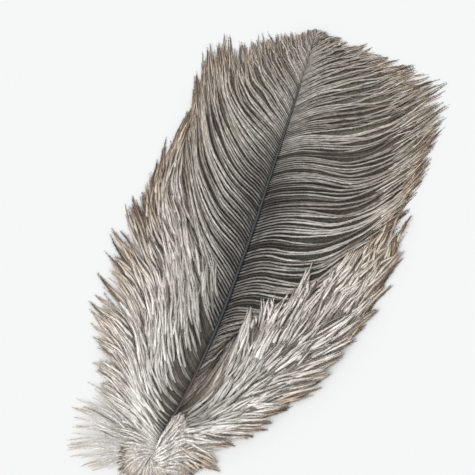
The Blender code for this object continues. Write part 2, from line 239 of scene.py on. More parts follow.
# Each layer of barbs. Lists of pairs give a value by guide: its number, then the value there.
# side: -1 left of the shaft, 1 right. barbs: how many. crowd: how close whole barbs stand. per_lock
# and clump: how many cling together and how hard. tuft: how far, in millimetres, a lock's point may
# stand out. start and length: where a strand comes up, as a share of its path, and how long it then
# is, in millimetres; a layer whose length is None has whole barbs from the shaft. reach: where they
# end, as a share of the path. stations: rings along a barb. width and profile: of a barb with its
# barbules pressed to it. heights: at the root, at a tenth of the path, and mid-way. tips: height at
# the path's end. wander: how far a barb sways, in guides for whole ones and degrees for strands.
# rooting and browning: how far the colour has run from the root's to the tip's at the path's start
# and at its end. lean: degrees that a strand turns from its path, anticlockwise. scatter: of the
# lean. tone: how pale. mottle: scatter of the tone. dark: share of dark barbs. spacing, barbule,
# spread, droop, thickness and fuzz: of the loose barbules: how far apart, how long, at how many
# degrees, how far they fall, how thick, and how much paler than their barb.
VANE = dict(
    tips=[(0, 0.3)], browning=[(0, 1.0)], clump=0.66, stations=25, start=(0.0, 0.0), length=None,
    width=1.0, profile=WHOLE_BARB, heights=(2.3, 2.9, 2.4), reach=(0.84, 1.03), wander=0.08,
    mottle=0.12, spacing=0.55, barbule=1.1, spread=22.0, droop=0.22, thickness=0.16,
    fuzz=0.0)
BASE = dict(
    tips=[(0, 0.3)], browning=[(0, 0.9), (5, 0.9), (8, 0.7)], crowd=[(0, 1.0)],
    per_lock=[(0, 2.0)], clump=0.5, stations=17, start=(0.0, 0.0), length=None, width=0.9,
    profile=WHOLE_BARB, heights=(1.8, 2.0, 1.7), reach=(0.80, 0.99), wander=0.12, mottle=0.2,
    dark=[(0, 0.1)],
    spacing=1.8, barbule=1.4, spread=20.0, droop=0.22, thickness=0.2, fuzz=0.1)
EDGE = dict(
    tips=[(0, 0.3)], rooting=[(0, 0.0)], browning=[(0, 1.0)], per_lock=[(0, 5.0)], clump=0.7,
    tuft=2.0, stations=9, start=(0.56, 0.88), length=(12.0, 24.0), width=0.6, profile=STRAND,
    heights=(2.3, 3.1, 3.0), reach=(0.84, 1.08), wander=4.0, lean=[(0, 0.0)], scatter=3.0,
    mottle=0.16, spacing=0.9, barbule=1.0, spread=14.0, droop=0.15, thickness=0.13, fuzz=0.1)
DOWN = dict(
    clump=0.6, stations=10, start=(0.02, 0.88),
    width=1.0, profile=STRAND, heights=(2.4, 3.7, 3.6), reach=(0.85, 1.08), wander=6.0,
    mottle=0.13, spacing=0.6, barbule=1.9, spread=14.0, droop=0.08, thickness=0.13, fuzz=0.0)
QUILL = dict(
    tips=[(0, 0.3)], rooting=[(0, 0.2)], browning=[(0, 0.97)], per_lock=[(0, 4.0)], clump=0.5,
    tuft=3.0, stations=9, start=(0.0, 0.5), length=(8.0, 15.0), width=0.6, profile=STRAND,
    reach=(0.72, 1.08), wander=8.0, lean=[(0, 0.0)], scatter=10.0, tone=[(0, 0.99)], mottle=0.03,
    dark=[(0, 0.0)], spacing=0.4, barbule=2.2, spread=15.0, droop=0.03, thickness=0.13, fuzz=0.07)
LEFT_VANE = SimpleNamespace(
    name="left_vane", guides=LEFT_VANE_GUIDES, side=-1, barbs=116, seed=11,
    crowd=[(0, 0.9), (5, 1.0), (9, 1.4), (13, 1.8)],
    per_lock=[(0, 2.2), (6, 2.2), (9, 1.5), (13, 1.2)], rooting=[(0, 0.0), (6, 0.0), (9, 0.15)],
    tone=[(0, 0.66), (5, 0.58), (9, 0.44), (13, 0.4)], dark=[(0, 0.05)], **{**VANE, "clump": 0.5})
RIGHT_VANE = SimpleNamespace(
    name="right_vane", guides=RIGHT_VANE_GUIDES, side=1, barbs=158, seed=12,
    crowd=[(0, 1.0), (7, 1.0), (10, 1.4), (16, 1.8)],
    per_lock=[(0, 1.3), (3, 2.3), (7, 2.3), (10, 1.6), (16, 1.2)],
    rooting=[(0, 0.0), (8, 0.0), (11, 0.15)],
    tone=[(0, 0.2), (2.5, 0.3), (4, 0.6), (8, 0.56), (11, 0.44), (16, 0.42)],
    dark=[(0, 0.25), (8, 0.2), (11, 0.08)], **VANE)
LEFT_EDGE = SimpleNamespace(
    name="left_edge", guides=LEFT_VANE_GUIDES, side=-1, barbs=200, seed=21, dark=[(0, 0.15)],
    tone=[(0, 0.6), (6, 0.52), (9, 0.44)], **EDGE)
RIGHT_EDGE = SimpleNamespace(
    name="right_edge", guides=RIGHT_VANE_GUIDES[4:], side=1, barbs=330, seed=22, dark=[(0, 0.3)],
    tone=[(0, 0.8), (7, 0.7)], **EDGE)
LEFT_BASE = SimpleNamespace(
    name="left_base", guides=LEFT_DOWN_GUIDES, side=-1, barbs=170, seed=31,
    rooting=[(0, 0.0), (6, 0.04), (9, 0.1)], tone=[(0, 0.3), (3, 0.4), (5, 0.75), (8, 0.97)],
    **{**BASE, "crowd": [(0, 0.8), (4, 1.1), (6, 1.7), (9, 1.5), (12, 0.8)]})
RIGHT_BASE = SimpleNamespace(
    name="right_base", guides=RIGHT_DOWN_GUIDES, side=1, barbs=90, seed=32,
    rooting=[(0, 0.0), (4, 0.0), (7, 0.2)],
    tone=[(0, 0.05), (2, 0.2), (4, 0.5), (6, 0.9)], **BASE)
LEFT_DOWN = SimpleNamespace(
    name="left_down", guides=LEFT_DOWN_GUIDES, side=-1, barbs=600, seed=13, tips=[(0, 0.3)],
    rooting=[(0, 0.0), (3, 0.04), (6, 0.2)],
    browning=[(0, 1.0), (4, 0.97), (6, 0.88), (8, 0.72), (12, 0.6)],
    per_lock=[(0, 6.0)], tuft=3.5, length=(12.0, 22.0),
    lean=[(0, -12.0), (5, 5.0), (8, 14.0), (12, 8.0)], scatter=4.0,
    tone=[(0, 0.58), (2, 0.66), (4, 0.76), (7, 0.92)], dark=[(0, 0.22), (5, 0.18), (8, 0.04)],
    **DOWN)
RIGHT_DOWN = SimpleNamespace(
    name="right_down", guides=RIGHT_DOWN_GUIDES[1:], side=1, barbs=560, seed=14,
    rooting=[(0, 0.0), (3, 0.0), (6, 0.2)], per_lock=[(0, 8.0)], tuft=6.0,
    tips=[(0, 3.4), (2, 3.0), (3, 1.2), (4, 0.3)], length=(8.0, 15.0),
    browning=[(0, 0.6), (1.5, 0.7), (3, 1.0), (6, 1.07), (9, 1.07), (12, 0.85)],
    lean=[(0, 8.0), (2, 4.0), (5, -18.0), (12, -18.0)], scatter=6.0,
    tone=[(0, 0.72), (4, 0.8), (7, 0.92)], dark=[(0, 0.15), (4, 0.3), (8, 0.15)],
    **{**DOWN, "clump": 0.78})
RIGHT_SEAM = SimpleNamespace(
    name="right_seam", guides=RIGHT_DOWN_GUIDES[1:6], side=1, barbs=150, seed=16,
    rooting=[(0, 0.0)], per_lock=[(0, 5.0)], tuft=1.0,
    tips=[(0, 3.6), (2, 3.3), (3, 1.6), (4, 0.4)], browning=[(0, 0.6), (1.5, 0.7), (3, 1.0)],
    length=(8.0, 14.0), lean=[(0, 8.0)], scatter=6.0, tone=[(0, 0.74)], dark=[(0, 0.1)],
    **{**DOWN, "start": (0.4, 0.9)})
WISPS = SimpleNamespace(
    name="wisps", guides=WISP_GUIDES, side=-1, barbs=40, seed=18, tips=[(0, 0.3)],
    rooting=[(0, 0.0)], browning=[(0, 0.92)], per_lock=[(0, 2.0)], clump=0.3, tuft=2.0, stations=11,
    start=(0.2, 0.5), length=(15.0, 24.0), width=0.4, profile=STRAND, heights=(2.0, 3.0, 2.6),
    reach=(0.8, 1.05), wander=6.0, lean=[(0, 0.0)], scatter=5.0, tone=[(0, 0.85)], mottle=0.1,
    dark=[(0, 0.1)], spacing=0.5, barbule=1.2, spread=14.0, droop=0.03, thickness=0.12, fuzz=0.1)
QUILL_DOWN = SimpleNamespace(
    name="quill_down", guides=QUILL_DOWN_GUIDES, side=1, barbs=130, seed=15,
    heights=(3.8, 4.2, 3.8), **QUILL)
QUILL_COVER = SimpleNamespace(
    name="quill_cover", guides=QUILL_COVER_GUIDES, side=1, barbs=100, seed=17,
    heights=(4.4, 4.4, 3.2), **QUILL)


def in_metres(points):
    """Feather-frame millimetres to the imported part's metres."""
    return (np.asarray(points) - np.array([FRAME_MIDDLE[0], FRAME_MIDDLE[1], 0.0])) * MM


def ease(low, high, value):
    """Smooth step: 3t^2 - 2t^3 with t the value's place between low and high, held to 0 to 1."""
    t = np.clip((value - low) / (high - low), 0.0, 1.0)
    return t * t * (3.0 - 2.0 * t)


def along(points, fractions):
    """Cubic through a guide's points, read at fractions of its length (linear past its end)."""
    points = np.array(points, dtype=float)
    knots = np.concatenate([[0.0], np.cumsum(np.linalg.norm(np.diff(points, axis=0), axis=1))])
    at = fractions * knots[-1]
    slopes = np.gradient(points, knots, axis=0)
    piece = np.clip(np.searchsorted(knots, at) - 1, 0, len(knots) - 2)
    width = (knots[piece + 1] - knots[piece])[:, None]
    t = (at[:, None] - knots[piece][:, None]) / width
    return ((2 * t**3 - 3 * t**2 + 1) * points[piece] + (t**3 - 2 * t**2 + t) * slopes[piece] * width
            + (3 * t**2 - 2 * t**3) * points[piece + 1] + (t**3 - t**2) * slopes[piece + 1] * width)


def between_guides(guides, place, fraction):
    """Point of the barb at a place among the guides, at a fraction of its length.

    Across the guides it is a cubic with central-difference slopes, and along them it is linear
    between closely spaced stations. place and fraction are arrays of one shape.
    """
    known = np.stack([along(guide, np.linspace(0.0, 1.0, GUIDE_STATIONS)) for guide in guides])
    slopes = np.gradient(known, axis=0)
    station = np.clip(np.floor(fraction * (GUIDE_STATIONS - 1)), 0, GUIDE_STATIONS - 2).astype(int)
    part = (fraction * (GUIDE_STATIONS - 1) - station)[..., None]
    guide = np.clip(np.floor(place), 0, len(guides) - 2).astype(int)
    t = (place - guide)[..., None]

    def read(field, index):
        return field[index, station] * (1.0 - part) + field[index, station + 1] * part

    return ((2 * t**3 - 3 * t**2 + 1) * read(known, guide) + (t**3 - 2 * t**2 + t) * read(slopes, guide)
            + (3 * t**2 - 2 * t**3) * read(known, guide + 1) + (t**3 - t**2) * read(slopes, guide + 1))


def unit(vectors):
    """Vectors over their own lengths."""
    return vectors / np.maximum(np.linalg.norm(vectors, axis=-1, keepdims=True), 1e-9)


def path_lengths(guides):
    """Length of each guide, from point to point."""
    return np.array([np.linalg.norm(np.diff(np.array(guide, dtype=float), axis=0), axis=1).sum()
                     for guide in guides])


def by_guide(pairs, place):
    """A layer's value at places among its guides."""
    return np.interp(place, *zip(*pairs))


def by_crowd(layer, shares):
    """Places among the guides that share out the layer's crowd evenly."""
    places = np.linspace(0.0, len(layer.guides) - 1.0, 200)
    total = np.cumsum(by_guide(layer.crowd, places))
    return np.interp(shares, (total - total[0]) / (total[-1] - total[0]), places)


def over_area(guides, shares):
    """Places among the guides that share out the area between them evenly."""
    ends = np.stack([along(guide, np.linspace(0.2, 0.8, 7)) for guide in guides])
    gaps = np.linalg.norm(np.diff(ends, axis=0), axis=2).mean(axis=1)
    lengths = path_lengths(guides)
    area = np.concatenate([[0.0], np.cumsum(gaps * (lengths[1:] + lengths[:-1]))])
    return np.interp(shares, area / area[-1], np.arange(len(guides)))


def sway_whole(layer, chance, even, travelled):
    """Flat line of barbs that follow the guides from the shaft.

    A barb slides towards the middle of its lock by the clump share between 4% and 45% of its
    path, about half of the way back from there to its tip, and sways by slow sines, one of them
    its lock's.
    """
    count, last = layer.barbs, len(layer.guides) - 1.0
    locks = np.cumsum(1.0 / by_guide(layer.per_lock, even))
    lock = np.maximum.accumulate(np.floor(locks + chance.uniform(0.0, 0.3, count)).astype(int))
    lock_middle = np.bincount(lock, even)[lock] / np.bincount(lock)[lock]
    pull = layer.clump * ease(0.04, 0.45, travelled) * (1.0 - 0.55 * ease(0.5, 0.95, travelled))
    lock_phase = chance.uniform(0.0, 2.0 * np.pi, lock.max() + 1)[lock][:, None]
    own_phase = chance.uniform(0.0, 2.0 * np.pi, count)[:, None]
    sway = np.sin(LOCK_SWAY * travelled + lock_phase) + 0.5 * np.sin(OWN_SWAY * travelled + own_phase)
    inside = ease(0.0, 1.0, even) * ease(0.0, 1.0, last - even)
    sway = sway * layer.wander * ease(0.0, 0.6, travelled) * inside[:, None]
    place = even[:, None] * (1.0 - pull) + lock_middle[:, None] * pull + sway
    return between_guides(layer.guides, np.clip(place, 0.0, last), travelled)


def sway_strands(layer, chance, even, travelled):
    """Flat line of strands that start on a guide and lean away from it.

    A strand's heading is the guides' own, plus its place's lean and its own scatter, which both
    grow along it, plus a sine. Its points are the running sum of the steps that it takes. Its tip
    is drawn by the clump share to the point of its lock, a little way past the nearest of a few
    leading tips, and less so from far away.
    """
    guided = between_guides(layer.guides, np.repeat(even[:, None], layer.stations, axis=1), travelled)
    steps = np.diff(guided, axis=1)
    heading = np.unwrap(np.arctan2(steps[..., 1], steps[..., 0]), axis=1)
    own = np.linspace(0.0, 1.0, layer.stations - 1)[None, :]
    lean = by_guide(layer.lean, even) + chance.normal(0.0, layer.scatter, len(even))
    phase = chance.uniform(0.0, 2.0 * np.pi, len(even))[:, None]
    turn = lean[:, None] * ease(-0.3, 0.8, own) + layer.wander * np.sin(STRAND_SWAY * own + phase)
    heading = heading + np.radians(turn)
    walk = np.linalg.norm(steps, axis=2)[..., None] * np.stack([np.cos(heading), np.sin(heading)], axis=2)
    flat = guided[:, :1] + np.concatenate([np.zeros((len(even), 1, 2)), np.cumsum(walk, axis=1)], axis=1)
    tips = flat[:, -1]
    leading = chance.random(len(tips)) < 1.0 / by_guide(layer.per_lock, even)
    leaders = tips[leading]
    ahead = np.stack([np.cos(heading[leading, -1]), np.sin(heading[leading, -1])], axis=1)
    points = leaders + ahead * chance.uniform(0.0, layer.tuft, (len(leaders), 1))
    nearest = np.linalg.norm(leaders[None, :, :] - tips[:, None, :], axis=2).argmin(axis=1)
    away = np.linalg.norm(leaders[nearest] - tips, axis=1)
    pull = (points[nearest] - tips) * (layer.clump / (1.0 + (away / LOCK_RADIUS) ** 2))[:, None]
    share = ease(0.1, 1.1, np.linspace(0.0, 1.0, layer.stations))[None, :, None]
    return flat + pull[:, None, :] * share


def grow_barbs(layer):
    """Middle lines, widths and map places of a layer's barbs.

    Whole barbs start evenly along the shaft; strands come up at a random share of a path, spread
    evenly over the area. The height follows the layer's heights down to the tip's, with a scatter
    of its own, and a strand rises to it from under half. Strands that start near the shaft are
    seldom dark.
    """
    chance = np.random.default_rng(layer.seed)
    count, last = layer.barbs, len(layer.guides) - 1.0
    shares = (np.arange(count) + 0.5) / count
    whole = layer.length is None
    even = by_crowd(layer, shares) if whole else over_area(layer.guides, shares)
    start = chance.uniform(*layer.start, count)
    end = chance.uniform(*layer.reach, count)
    if not whole:
        path = np.interp(even, np.arange(last + 1), path_lengths(layer.guides))
        end = np.minimum(end, start + chance.uniform(*layer.length, count) / path)
        start = np.minimum(start, end - 0.5 * layer.length[0] / path)
    own = np.linspace(0.0, 1.0, layer.stations)[None, :]
    travelled = np.maximum(start, 0.0)[:, None] * (1.0 - own) + end[:, None] * own
    flat = (sway_whole if whole else sway_strands)(layer, chance, even, travelled)
    root, near, middle = layer.heights
    height = np.interp(travelled, [0.0, 0.1, 0.5, 1.0], [root, near, middle, 0.0])
    height = height + by_guide(layer.tips, even)[:, None] * np.clip(2.0 * travelled - 1.0, 0.0, 1.0)
    own_height = chance.uniform(-HEIGHT_SCATTER, HEIGHT_SCATTER, count)[:, None]
    height = height + own_height * ease(0.0, 0.2, travelled)
    if not whole:
        height = height * (STRAND_ROOT + (1.0 - STRAND_ROOT) * ease(0.0, 0.45, own))
    line = np.concatenate([flat, np.maximum(height, BARB_CLEARANCE)[..., None]], axis=2)
    tone = by_guide(layer.tone, even) + chance.normal(0.0, layer.mottle, count)
    # Dark barbs: partly painted shade, thin dark strands in the gaps between locks and tufts.
    shaded = 1.0 if whole else ease(*DARK_STARTS, start)
    dark = chance.random(count) < by_guide(layer.dark, even) * shaded
    tone = np.where(dark, chance.uniform(*DARK_TONES, count), tone)
    slot, fuzz_slot = [(np.floor(np.clip(level, 0.0, 0.999) * TONES) + 0.5) / TONES
                       for level in (tone, tone + layer.fuzz)]
    width = layer.width * np.interp(own, *zip(*layer.profile))
    width = width * chance.uniform(*WIDTH_SHARES, (count, 1))
    width = width * chance.uniform(*RING_SHARES, travelled.shape)
    width = width * np.where(dark, DARK_WIDTH, 1.0)[:, None]
    first = by_guide(layer.rooting, even)[:, None]
    final = (by_guide(layer.browning, even) * chance.uniform(*BROWNING_SHARES, count))[:, None]
    shade = np.clip(first * (1.0 - travelled) + final * travelled, *MAP_ENDS)
    return SimpleNamespace(line=line, shade=shade, slot=slot, fuzz_slot=fuzz_slot, width=width,
                           count=count, layer=layer)


def barb_cords(barbs):
    """Closed flattened cords on the barbs' lines: six corners a ring, a point at the tip.

    The map's u is the column of the barb's tone, from its middle at the cord's top to near its
    edge at the cord's sides, and its v the share of the path.
    """
    line, count = barbs.line, barbs.count
    stations = barbs.layer.stations - 1
    forward = unit(np.gradient(line, axis=1))
    left = unit(np.cross(np.array([0.0, 0.0, 1.0]), forward))
    up = np.cross(forward, left)
    half = 0.5 * barbs.width[:, :stations, None, None]
    corners = sum(axis[:, :stations, None, :] * CORD_CORNERS[None, None, :, k, None]
                  for k, axis in enumerate((left, up)))
    rings = line[:, :stations, None, :] + corners * half
    points = np.concatenate([rings.reshape(count, -1, 3), line[:, -1:, :]], axis=1)
    sides = len(CORD_CORNERS)
    u = np.broadcast_to(barbs.slot[:, None, None] + CORD_CORNERS[:, 2] / TONES, (count, stations, sides))
    v = barbs.shade[:, :stations, None] + CORD_CORNERS[:, 3]
    ring_uv = np.stack([u, v], axis=3).reshape(count, -1, 2)
    tip_uv = np.stack([barbs.slot, barbs.shade[:, -1]], axis=1)[:, None, :]
    uv = np.concatenate([ring_uv, tip_uv], axis=1)
    corner = np.arange(sides)
    ring = sides * np.arange(stations - 1)[:, None]
    ahead = (corner + 1) % sides
    strips = np.stack([ring + corner, ring + ahead, ring + sides + ahead, ring + sides + corner], axis=2)
    last = sides * (stations - 1)
    root = np.stack([np.zeros(sides - 2, int), corner[2:], corner[1:-1]], axis=1)
    tip = np.stack([last + corner, last + ahead, np.full(sides, sides * stations)], axis=1)
    triangles = np.concatenate([root, tip])
    start = (np.arange(count) * points.shape[1])[:, None, None]
    return (points.reshape(-1, 3), (triangles[None] + start).reshape(-1, 3),
            (strips.reshape(-1, 4)[None] + start).reshape(-1, 4), uv.reshape(-1, 2))


def barbule_spikes(barbs):
    """Fine closed spikes on both sides of each barb, one about every spacing of its length.

    A spike leaves at the spread angle from the barb's direction, droops towards the floor, and
    thins from a triangle at its root to a point. Its length swells from the root to a quarter
    of the barb and shrinks to the tip. The map's u runs from the middle of the tone's column
    out to its edge.
    """
    layer, count = barbs.layer, barbs.count
    chance = np.random.default_rng(layer.seed + BARBULE_SEED)
    lengths = np.linalg.norm(np.diff(barbs.line, axis=1), axis=2).sum(axis=1)
    number = np.maximum((lengths / layer.spacing).astype(int), 2)
    owner = np.repeat(np.arange(count), number)
    order = np.arange(number.sum()) - np.repeat(np.cumsum(number) - number, number)
    own = (order + chance.uniform(0.0, 1.0, len(order))) / number[owner]
    owner, own = np.tile(owner, 2), np.tile(own, 2)
    side = np.repeat([1.0, -1.0], len(order))[:, None]
    station = np.clip(own * (layer.stations - 1), 0.0, layer.stations - 1.001)
    first = station.astype(int)
    part = (station - first)[:, None]
    start, end = barbs.line[owner, first], barbs.line[owner, first + 1]
    shade = barbs.shade[owner, first] * (1.0 - part[:, 0]) + barbs.shade[owner, first + 1] * part[:, 0]
    forward = unit(end - start)
    left = unit(np.cross(np.array([0.0, 0.0, 1.0]), forward))
    root = start * (1.0 - part) + end * part + side * left * 0.3 * barbs.width[owner, first][:, None]
    turn = np.radians(layer.spread * chance.uniform(*SPREAD_SHARES, len(own)))[:, None]
    swell = 0.4 + 0.6 * ease(0.0, 0.25, own) - 0.5 * ease(0.6, 1.0, own)
    length = (layer.barbule * swell * chance.uniform(*LENGTH_SHARES, len(own)))[:, None]
    aim = forward * np.cos(turn) + side * left * np.sin(turn)
    fall = layer.droop * chance.uniform(*FALL_SHARES, len(own))[:, None]
    tip = root + (aim - np.array([0.0, 0.0, 1.0]) * fall) * length
    tip[:, 2] = np.maximum(tip[:, 2], CLEARANCE)
    across = unit(np.cross(np.array([0.0, 0.0, 1.0]), aim)) * layer.thickness * 0.5
    top = np.array([0.0, 0.0, 1.0]) * layer.thickness * 0.7
    points = np.stack([root + across, root - across, root + top, tip], axis=1)
    slot, out = barbs.fuzz_slot[owner], side[:, 0] / TONES
    uv = np.stack([np.stack([slot + aside * out, shade + ahead + rise * length[:, 0] / lengths[owner]],
                            axis=1)
                   for aside, ahead, rise in SPIKE_CORNERS], axis=1)
    triangles = np.array([[0, 1, 2], [1, 0, 3], [0, 2, 3], [2, 1, 3]])
    start = (np.arange(len(own)) * 4)[:, None, None]
    return (points.reshape(-1, 3), (triangles[None] + start).reshape(-1, 3),
            np.zeros((0, 4), int), uv.reshape(-1, 2))


def web_sheet(layer, lines, reach, low, high):
    """Thin closed sheet under a layer's barbs, with ribs that run along them.

    Its top is z = low + (high - low) (1 - s^4) (1 - d + d |cos|) over the barb-line places and
    the shares s of a ragged reach by guide, with d the ribs' depth. Its underside lies just above
    the floor, and a rim joins them. It stands for the lower barbs, and its dark colour is partly
    painted shade.
    """
    stations = WEB_STATIONS
    place = np.linspace(0.0, len(layer.guides) - 1.0, lines)[:, None] * np.ones((1, stations))
    ragged = 1.0 - WEB_RAGGED * np.random.default_rng(layer.seed + WEB_SEED).random(lines)
    ragged = (ragged * by_guide(reach, place[:, 0]))[:, None]
    share = np.linspace(0.0, 1.0, stations)[None, :]
    fraction = ragged * share
    flat = between_guides(layer.guides, place, fraction)
    under_shaft = 0.4
    flat[:, 0, 0] -= layer.side * under_shaft
    wave = np.abs(np.cos(np.pi * np.arange(lines)[:, None] / WEB_RIB_LINES))
    ribs = (1.0 - WEB_RIB_DEPTH) + WEB_RIB_DEPTH * wave
    top = low + (high - low) * (1.0 - share ** 4) * ribs
    upper = np.concatenate([flat, top[..., None]], axis=2)
    lower = np.concatenate([flat, np.full(flat.shape[:2] + (1,), CLEARANCE)], axis=2)
    index = np.arange(lines * stations).reshape(lines, stations)
    cells = np.stack([index[:-1, :-1], index[1:, :-1], index[1:, 1:], index[:-1, 1:]], axis=2)
    cells = cells.reshape(-1, 4)
    rim = np.concatenate([index[:, 0], index[-1, 1:], index[-2::-1, -1], index[0, -2:0:-1]])
    ahead = np.roll(rim, -1)
    offset = lines * stations
    walls = np.stack([rim, ahead, ahead + offset, rim + offset], axis=1)
    quads = np.concatenate([cells[:, ::-1], cells + offset, walls])
    if (layer.side < 0) != downward(layer):
        quads = quads[:, ::-1]
    points = np.concatenate([upper.reshape(-1, 3), lower.reshape(-1, 3)])
    u = np.linspace(0.0, 1.0, lines)[:, None] * np.ones((1, stations))
    uv = np.stack([u, fraction], axis=2).reshape(-1, 2)
    return points, np.zeros((0, 3), int), quads, np.concatenate([uv, uv + [0.0, WEB_RIM]])


def downward(layer):
    """Whether the layer's guides run from high on the shaft to low."""
    return layer.guides[0][0][1] > layer.guides[-1][0][1]


def shaft_tube():
    """Round tube on the shaft's line: radius half its width, with a dent along its top.

    Each ring is (cos a, sin a) times the radius, its top pressed in by a narrow bell of the
    angle, and a point closes each end.
    """
    line = along(SHAFT_LINE, np.linspace(0.0, 1.0, SHAFT_STATIONS))
    forward = unit(np.gradient(line, axis=0))
    across = np.stack([forward[:, 1], -forward[:, 0]], axis=1)
    radius = 0.5 * np.interp(line[:, 1], *zip(*SHAFT_WIDTH))
    middle = np.interp(line[:, 1], *zip(*SHAFT_HEIGHT))
    middle = np.maximum(middle, radius + CLEARANCE)
    turn = 2.0 * np.pi * np.arange(SHAFT_SIDES) / SHAFT_SIDES
    dent = 1.0 - DENT_DEPTH * np.exp(-((turn - 0.5 * np.pi) / DENT_BREADTH) ** 2)
    ring = np.stack([np.cos(turn) * dent, np.sin(turn) * dent], axis=1)
    flat = line[:, None, :] + across[:, None, :] * (radius[:, None] * ring[None, :, 0])[..., None]
    height = middle[:, None] + radius[:, None] * ring[None, :, 1]
    rings = np.concatenate([flat, height[..., None]], axis=2).reshape(-1, 3)
    ends = np.array([[*line[0], middle[0]], [*line[-1], middle[-1]]])
    ends[:, :2] += np.array([-forward[0], forward[-1]]) * radius[[0, -1], None]
    points = np.concatenate([rings, ends])
    side = np.arange(SHAFT_SIDES)
    ahead = (side + 1) % SHAFT_SIDES
    base = SHAFT_SIDES * np.arange(SHAFT_STATIONS - 1)[:, None]
    quads = np.stack([base + side, base + SHAFT_SIDES + side, base + SHAFT_SIDES + ahead, base + ahead],
                     axis=2).reshape(-1, 4)
    last = SHAFT_SIDES * (SHAFT_STATIONS - 1)
    first_tip, last_tip = len(rings), len(rings) + 1
    triangles = np.concatenate([
        np.stack([side, ahead, np.full(SHAFT_SIDES, first_tip)], axis=1),
        np.stack([last + ahead, last + side, np.full(SHAFT_SIDES, last_tip)], axis=1)])
    u = np.abs(2.0 * side / SHAFT_SIDES - 1.0)
    v = np.linspace(0.01, 0.99, SHAFT_STATIONS)
    uv = np.stack(np.broadcast_arrays(u[None, :], v[:, None]), axis=2).reshape(-1, 2)
    return points, triangles, quads, np.concatenate([uv, [[0.5, 0.0], [0.5, 1.0]]])


def make_piece(name, surface, material):
    """Object from points, triangles, quads and a map, riding on the body in the feather's place."""
    points, triangles, quads, uv = surface
    corners = np.concatenate([triangles.ravel(), quads.ravel()]).astype(np.int32)
    sizes = np.concatenate([np.full(len(triangles), 3), np.full(len(quads), 4)])
    mesh = bpy.data.meshes.new(name)
    mesh.vertices.add(len(points))
    mesh.vertices.foreach_set("co", in_metres(points).astype(np.float32).ravel())
    mesh.loops.add(len(corners))
    mesh.loops.foreach_set("vertex_index", corners)
    mesh.polygons.add(len(sizes))
    mesh.polygons.foreach_set("loop_start", (np.cumsum(sizes) - sizes).astype(np.int32))
    mesh.polygons.foreach_set("use_smooth", np.ones(len(sizes), dtype=bool))
    mesh.update(calc_edges=True)
    mesh.uv_layers.new(name="OFBake").data.foreach_set("uv", uv[corners].astype(np.float32).ravel())
    mesh.materials.append(material)
    piece = bpy.data.objects.new(name, mesh)
    bpy.context.collection.objects.link(piece)
    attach(piece, "root")
    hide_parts("feather")
    return piece


def color(code):
    """Linear colour from six hex digits as seen on a screen."""
    seen = np.array([int(code[k:k + 2], 16) for k in (0, 2, 4)]) / 255.0
    linear = np.where(seen <= 0.04045, seen / 12.92, ((seen + 0.055) / 1.055) ** 2.4)
    return (*linear.tolist(), 1.0)


class Value:
    """A number on a node's socket, with arithmetic that adds Math nodes."""

    def __init__(self, finish, socket):
        self.finish, self.socket = finish, socket

    def math(self, operation, *others):
        """Result of a Math node on this value and the others."""
        inputs = {0: self}
        inputs.update({k + 1: other for k, other in enumerate(others)})
        return self.finish.node("ShaderNodeMath", {"operation": operation}, inputs)

    def __add__(self, other):
        return self.math("ADD", other)

    __radd__ = __add__

    def __mul__(self, other):
        return self.math("MULTIPLY", other)

    __rmul__ = __mul__

    def __sub__(self, other):
        return self.math("SUBTRACT", other)

    def __rsub__(self, other):
        return self * -1.0 + other

    def ramp(self, low, high):
        """0 below low and 1 above high, smooth between."""
        return self.finish.node("ShaderNodeMapRange", {"interpolation_type": "SMOOTHSTEP"},
                                {"Value": self, "From Min": low, "From Max": high})


class Finish:
    """A material with one Principled shader, and the nodes that feed it."""

    def __init__(self, name, sheen):
        self.material = bpy.data.materials.new(name)
        self.material.use_nodes = True
        self.tree = self.material.node_tree
        self.shader = self.tree.nodes["Principled BSDF"]
        self.shader.inputs["Sheen Weight"].default_value = sheen
        self.shader.inputs["Sheen Roughness"].default_value = 0.4
        self.shader.inputs["Specular IOR Level"].default_value = 0.3
        place = self.node("ShaderNodeUVMap", {"uv_map": "OFBake"}, {})
        self.u = self.node("ShaderNodeSeparateXYZ", {}, {0: place}, "X")
        self.v = self.node("ShaderNodeSeparateXYZ", {}, {0: place}, "Y")

    def node(self, kind, settings, inputs, output=0):
        """Add a node: its settings first, then values or links on its sockets."""
        made = self.tree.nodes.new(kind)
        for name, setting in settings.items():
            setattr(made, name, setting)
        for name, given in inputs.items():
            if isinstance(given, Value):
                self.tree.links.new(given.socket, made.inputs[name])
            else:
                made.inputs[name].default_value = given
        return Value(self, made.outputs[output])

    def stops(self, value, stops):
        """Colour ramp on a value: pairs of place and hex colour."""
        made = self.tree.nodes.new("ShaderNodeValToRGB")
        while len(made.color_ramp.elements) < len(stops):
            made.color_ramp.elements.new(1.0)
        for element, (place, code) in zip(made.color_ramp.elements, stops):
            element.position = place
            element.color = color(code)
        self.tree.links.new(value.socket, made.inputs["Fac"])
        return Value(self, made.outputs["Color"])

    def mix(self, factor, first, second, blend="MIX"):
        """Mix of two colours by a factor."""
        inputs = {"Factor": factor, 6: first, 7: second}
        return self.node("ShaderNodeMix", {"data_type": "RGBA", "blend_type": blend}, inputs, 2)

    def noise(self, u_scale, v_scale, detail=2.0):
        """Noise over the map, stretched by its own scale each way."""
        place = self.node("ShaderNodeCombineXYZ", {}, {"X": self.u * u_scale, "Y": self.v * v_scale})
        return self.node("ShaderNodeTexNoise", {}, {"Vector": place, "Scale": 1.0, "Detail": detail})

    def done(self, shade, rough):
        """Join the colour and the roughness to the shader and give the material."""
        self.tree.links.new(shade.socket, self.shader.inputs["Base Color"])
        self.tree.links.new(rough.socket, self.shader.inputs["Roughness"])
        return self.material

    def relief(self, height, depth):
        """Raise the surface by a height of 0 to 1 times a depth in metres."""
        bump = self.node("ShaderNodeBump", {}, {"Distance": depth, "Height": height})
        self.tree.links.new(bump.socket, self.shader.inputs["Normal"])


